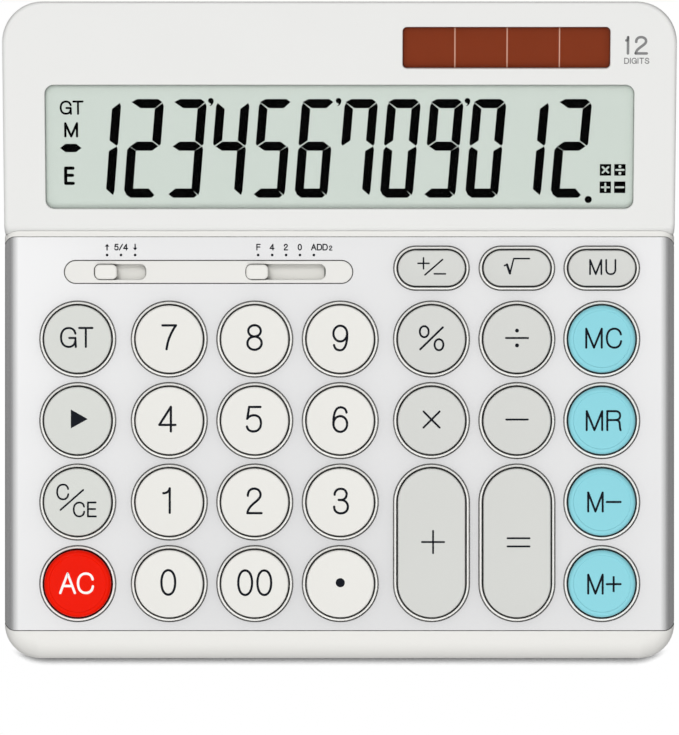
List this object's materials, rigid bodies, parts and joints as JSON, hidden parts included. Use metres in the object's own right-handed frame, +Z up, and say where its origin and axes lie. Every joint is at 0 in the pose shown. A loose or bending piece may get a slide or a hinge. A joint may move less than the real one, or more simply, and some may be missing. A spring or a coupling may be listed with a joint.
{
  "type": "desktop calculator",
  "caption": "Desktop calculator with round keys in a silver panel, slide switches and a wide tilting display head with LCD and solar window.",
  "frame": {"origin": "middle of the underside of the whole part, on the desk", "axes": "+X right, +Y away from the user, +Z up"},
  "size_m": [0.19, 0.186, 0.0426],
  "materials": {
    "housing": "satin off-white",
    "lower_housing": "satin off-white",
    "head": "satin white",
    "panel": "fine satin silver",
    "number_key": "warm white",
    "function_key": "pale grey",
    "edit_key": "pale greenish grey",
    "memory_key": "glossy cyan",
    "clear_key": "glossy red",
    "knob": "satin",
    "board": "green solder mask",
    "mat": "translucent grey silicone",
    "lens": "clear acrylic",
    "lcd": "reflective LCD",
    "holder": "white",
    "cable": "polyimide",
    "cell": "plain dark sleeve",
    "solar_cell": "dark brown cell",
    "solar_glass": "brown tinted window",
    "steel": "bright zinc",
    "rubber": "matt grey"
  },
  "bodies": {
    "base": {"upper_housing": "housing", "lower_housing": "lower_housing", "deck_panel": "panel", "main_board": "board", "key_mat": "mat", "lcd_ribbon": "cable", "battery_cell": "cell", "battery_spring": "steel", "battery_contact": "steel", "front_left_foot": "rubber", "rear_left_foot": "rubber", "front_right_foot": "rubber", "rear_right_foot": "rubber", "front_left_screw": "steel", "front_right_screw": "steel", "rear_left_screw": "steel", "rear_right_screw": "steel"},
    "display_head": {"display_cover": "head", "display_back": "head", "display_lens": "lens", "lcd_glass": "lcd", "lcd_holder": "holder", "solar_window": "solar_glass", "solar_cell": "solar_cell", "left_hinge_pin": "steel", "right_hinge_pin": "steel", "left_display_screw": "steel", "right_display_screw": "steel"},
    "battery_door": {"battery_door": "lower_housing"},
    "rounding_switch_knob": {"rounding_switch_knob": "knob"},
    "decimal_switch_knob": {"decimal_switch_knob": "knob"},
    "key_all_clear": {"key_all_clear": "clear_key"},
    "key_0": {"key_0": "number_key"},
    "key_00": {"key_00": "number_key"},
    "key_point": {"key_point": "number_key"},
    "key_memory_plus": {"key_memory_plus": "memory_key"},
    "key_clear_entry": {"key_clear_entry": "edit_key"},
    "key_1": {"key_1": "number_key"},
    "key_2": {"key_2": "number_key"},
    "key_3": {"key_3": "number_key"},
    "key_memory_minus": {"key_memory_minus": "memory_key"},
    "key_backspace": {"key_backspace": "edit_key"},
    "key_4": {"key_4": "number_key"},
    "key_5": {"key_5": "number_key"},
    "key_6": {"key_6": "number_key"},
    "key_times": {"key_times": "function_key"},
    "key_minus": {"key_minus": "function_key"},
    "key_memory_recall": {"key_memory_recall": "memory_key"},
    "key_grand_total": {"key_grand_total": "edit_key"},
    "key_7": {"key_7": "number_key"},
    "key_8": {"key_8": "number_key"},
    "key_9": {"key_9": "number_key"},
    "key_percent": {"key_percent": "function_key"},
    "key_divide": {"key_divide": "function_key"},
    "key_memory_clear": {"key_memory_clear": "memory_key"},
    "key_plus": {"key_plus": "function_key"},
    "key_equals": {"key_equals": "function_key"},
    "key_sign": {"key_sign": "function_key"},
    "key_root": {"key_root": "function_key"},
    "key_mark_up": {"key_mark_up": "function_key"}
  },
  "joints": [
    {"name": "display_tilt", "type": "hinge", "parent": "base", "child": "display_head", "pos_m": [0, 0.03501, 0.01723], "axis": [1, 0, 0], "range_deg": [0, 30]},
    {"name": "rounding_switch_slide", "type": "slide", "parent": "base", "child": "rounding_switch_knob", "axis": [1, 0, 0], "range_m": [0, 0.0079]},
    {"name": "decimal_switch_slide", "type": "slide", "parent": "base", "child": "decimal_switch_knob", "axis": [1, 0, 0], "range_m": [0, 0.0158]},
    {"name": "battery_door_slide", "type": "slide", "parent": "base", "child": "battery_door", "axis": [0, 1, 0], "range_m": [0, 0.022]},
    {"name": "press_all_clear", "type": "slide", "parent": "base", "child": "key_all_clear", "axis": [0, 0.0698, -0.9976], "range_m": [0, 0.0016], "stiffness_N_per_m": 300, "springref_m": -0.001, "deforming": ["key_mat"]},
    {"name": "press_0", "type": "slide", "parent": "base", "child": "key_0", "axis": [0, 0.0698, -0.9976], "range_m": [0, 0.0016], "stiffness_N_per_m": 300, "springref_m": -0.001, "deforming": ["key_mat"]},
    {"name": "press_00", "type": "slide", "parent": "base", "child": "key_00", "axis": [0, 0.0698, -0.9976], "range_m": [0, 0.0016], "stiffness_N_per_m": 300, "springref_m": -0.001, "deforming": ["key_mat"]},
    {"name": "press_point", "type": "slide", "parent": "base", "child": "key_point", "axis": [0, 0.0698, -0.9976], "range_m": [0, 0.0016], "stiffness_N_per_m": 300, "springref_m": -0.001, "deforming": ["key_mat"]},
    {"name": "press_memory_plus", "type": "slide", "parent": "base", "child": "key_memory_plus", "axis": [0, 0.0698, -0.9976], "range_m": [0, 0.0016], "stiffness_N_per_m": 300, "springref_m": -0.001, "deforming": ["key_mat"]},
    {"name": "press_clear_entry", "type": "slide", "parent": "base", "child": "key_clear_entry", "axis": [0, 0.0698, -0.9976], "range_m": [0, 0.0016], "stiffness_N_per_m": 300, "springref_m": -0.001, "deforming": ["key_mat"]},
    {"name": "press_1", "type": "slide", "parent": "base", "child": "key_1", "axis": [0, 0.0698, -0.9976], "range_m": [0, 0.0016], "stiffness_N_per_m": 300, "springref_m": -0.001, "deforming": ["key_mat"]},
    {"name": "press_2", "type": "slide", "parent": "base", "child": "key_2", "axis": [0, 0.0698, -0.9976], "range_m": [0, 0.0016], "stiffness_N_per_m": 300, "springref_m": -0.001, "deforming": ["key_mat"]},
    {"name": "press_3", "type": "slide", "parent": "base", "child": "key_3", "axis": [0, 0.0698, -0.9976], "range_m": [0, 0.0016], "stiffness_N_per_m": 300, "springref_m": -0.001, "deforming": ["key_mat"]},
    {"name": "press_memory_minus", "type": "slide", "parent": "base", "child": "key_memory_minus", "axis": [0, 0.0698, -0.9976], "range_m": [0, 0.0016], "stiffness_N_per_m": 300, "springref_m": -0.001, "deforming": ["key_mat"]},
    {"name": "press_backspace", "type": "slide", "parent": "base", "child": "key_backspace", "axis": [0, 0.0698, -0.9976], "range_m": [0, 0.0016], "stiffness_N_per_m": 300, "springref_m": -0.001, "deforming": ["key_mat"]},
    {"name": "press_4", "type": "slide", "parent": "base", "child": "key_4", "axis": [0, 0.0698, -0.9976], "range_m": [0, 0.0016], "stiffness_N_per_m": 300, "springref_m": -0.001, "deforming": ["key_mat"]},
    {"name": "press_5", "type": "slide", "parent": "base", "child": "key_5", "axis": [0, 0.0698, -0.9976], "range_m": [0, 0.0016], "stiffness_N_per_m": 300, "springref_m": -0.001, "deforming": ["key_mat"]},
    {"name": "press_6", "type": "slide", "parent": "base", "child": "key_6", "axis": [0, 0.0698, -0.9976], "range_m": [0, 0.0016], "stiffness_N_per_m": 300, "springref_m": -0.001, "deforming": ["key_mat"]},
    {"name": "press_times", "type": "slide", "parent": "base", "child": "key_times", "axis": [0, 0.0698, -0.9976], "range_m": [0, 0.0016], "stiffness_N_per_m": 300, "springref_m": -0.001, "deforming": ["key_mat"]},
    {"name": "press_minus", "type": "slide", "parent": "base", "child": "key_minus", "axis": [0, 0.0698, -0.9976], "range_m": [0, 0.0016], "stiffness_N_per_m": 300, "springref_m": -0.001, "deforming": ["key_mat"]},
    {"name": "press_memory_recall", "type": "slide", "parent": "base", "child": "key_memory_recall", "axis": [0, 0.0698, -0.9976], "range_m": [0, 0.0016], "stiffness_N_per_m": 300, "springref_m": -0.001, "deforming": ["key_mat"]},
    {"name": "press_grand_total", "type": "slide", "parent": "base", "child": "key_grand_total", "axis": [0, 0.0698, -0.9976], "range_m": [0, 0.0016], "stiffness_N_per_m": 300, "springref_m": -0.001, "deforming": ["key_mat"]},
    {"name": "press_7", "type": "slide", "parent": "base", "child": "key_7", "axis": [0, 0.0698, -0.9976], "range_m": [0, 0.0016], "stiffness_N_per_m": 300, "springref_m": -0.001, "deforming": ["key_mat"]},
    {"name": "press_8", "type": "slide", "parent": "base", "child": "key_8", "axis": [0, 0.0698, -0.9976], "range_m": [0, 0.0016], "stiffness_N_per_m": 300, "springref_m": -0.001, "deforming": ["key_mat"]},
    {"name": "press_9", "type": "slide", "parent": "base", "child": "key_9", "axis": [0, 0.0698, -0.9976], "range_m": [0, 0.0016], "stiffness_N_per_m": 300, "springref_m": -0.001, "deforming": ["key_mat"]},
    {"name": "press_percent", "type": "slide", "parent": "base", "child": "key_percent", "axis": [0, 0.0698, -0.9976], "range_m": [0, 0.0016], "stiffness_N_per_m": 300, "springref_m": -0.001, "deforming": ["key_mat"]},
    {"name": "press_divide", "type": "slide", "parent": "base", "child": "key_divide", "axis": [0, 0.0698, -0.9976], "range_m": [0, 0.0016], "stiffness_N_per_m": 300, "springref_m": -0.001, "deforming": ["key_mat"]},
    {"name": "press_memory_clear", "type": "slide", "parent": "base", "child": "key_memory_clear", "axis": [0, 0.0698, -0.9976], "range_m": [0, 0.0016], "stiffness_N_per_m": 300, "springref_m": -0.001, "deforming": ["key_mat"]},
    {"name": "press_plus", "type": "slide", "parent": "base", "child": "key_plus", "axis": [0, 0.0698, -0.9976], "range_m": [0, 0.0016], "stiffness_N_per_m": 300, "springref_m": -0.001, "deforming": ["key_mat"]},
    {"name": "press_equals", "type": "slide", "parent": "base", "child": "key_equals", "axis": [0, 0.0698, -0.9976], "range_m": [0, 0.0016], "stiffness_N_per_m": 300, "springref_m": -0.001, "deforming": ["key_mat"]},
    {"name": "press_sign", "type": "slide", "parent": "base", "child": "key_sign", "axis": [0, 0.0698, -0.9976], "range_m": [0, 0.0016], "stiffness_N_per_m": 300, "springref_m": -0.001, "deforming": ["key_mat"]},
    {"name": "press_root", "type": "slide", "parent": "base", "child": "key_root", "axis": [0, 0.0698, -0.9976], "range_m": [0, 0.0016], "stiffness_N_per_m": 300, "springref_m": -0.001, "deforming": ["key_mat"]},
    {"name": "press_mark_up", "type": "slide", "parent": "base", "child": "key_mark_up", "axis": [0, 0.0698, -0.9976], "range_m": [0, 0.0016], "stiffness_N_per_m": 300, "springref_m": -0.001, "deforming": ["key_mat"]}
  ]
}
